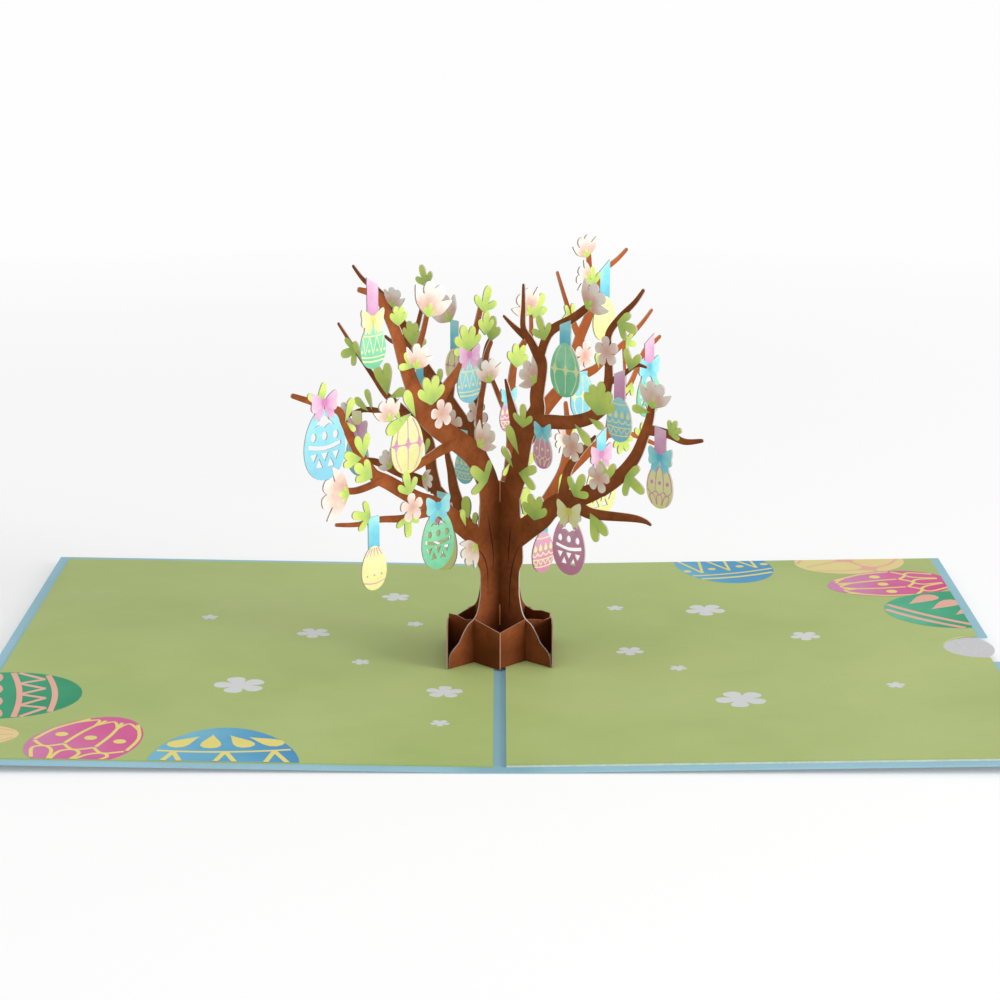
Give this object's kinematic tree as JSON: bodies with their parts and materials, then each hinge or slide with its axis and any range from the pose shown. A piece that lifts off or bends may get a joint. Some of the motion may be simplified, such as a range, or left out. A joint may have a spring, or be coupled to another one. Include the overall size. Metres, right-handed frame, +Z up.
{
  "type": "pop up card",
  "caption": "Open folded card with a slotted paper tree of hanging eggs and blossoms standing over the fold, and a pull-out note card.",
  "frame": {"origin": "middle of the fold on the cover's underside, where the open card rests on a table", "axes": "+X across the open card to the half with the note card, +Y along the fold to the back, +Z up"},
  "size_m": [0.254, 0.178, 0.1054],
  "materials": {
    "cover_card": "matt",
    "liner_print": "matt",
    "note_paper": "matt",
    "tree_print": "matt",
    "foot_print": "matt"
  },
  "bodies": {
    "card": {"cover": "cover_card", "left_liner": "liner_print", "right_liner": "liner_print", "pocket_rails": "cover_card", "tree_sheet_a": "tree_print", "tree_sheet_b": "tree_print", "front_left_brace": "foot_print", "front_right_brace": "foot_print", "back_left_brace": "foot_print", "back_right_brace": "foot_print", "left_anchor": "foot_print", "right_anchor": "foot_print"},
    "note_card": {"note_card": "note_paper"}
  },
  "joints": [
    {"name": "note_slide", "type": "slide", "parent": "card", "child": "note_card", "axis": [0.9999, 0, 0.0163], "range_m": [0, 0.1]}
  ]
}
